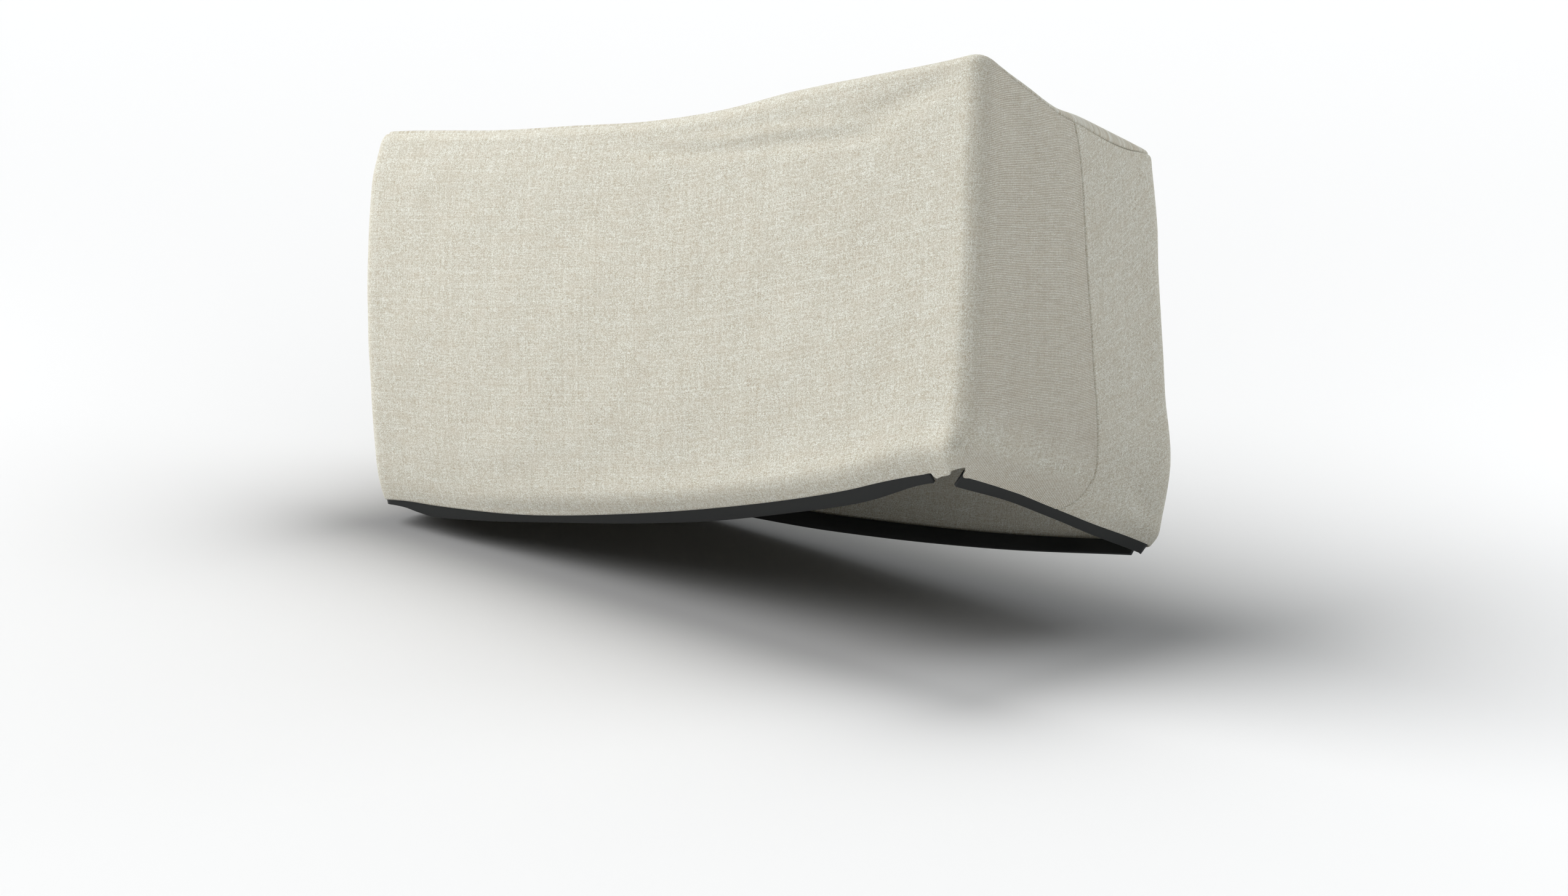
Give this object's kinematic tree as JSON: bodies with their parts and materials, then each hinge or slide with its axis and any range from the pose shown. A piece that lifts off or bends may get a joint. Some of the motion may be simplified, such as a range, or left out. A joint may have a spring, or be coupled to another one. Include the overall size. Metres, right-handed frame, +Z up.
{
  "type": "sofa cover",
  "caption": "Fitted woven cloth cover for a box-shaped sofa module, open underneath and lifted at one corner, with stiff dark strips behind its hem.",
  "frame": {"origin": "point on the underside of the top, at its middle, where the sofa module carries the cover", "axes": "+X along the long front towards the lifted end, +Y from the front to the back, +Z up"},
  "size_m": [1.2377, 0.4184, 0.8574],
  "materials": {
    "cover_cloth": "woven melange, light beige, matt",
    "hem_strip": "moulded, dark grey, satin"
  },
  "bodies": {
    "root": {"front_panel": "cover_cloth", "back_panel": "cover_cloth", "top_panel": "cover_cloth", "front_strip": "hem_strip", "right_strip": "hem_strip", "back_strip": "hem_strip", "left_strip": "hem_strip"}
  },
  "joints": []
}
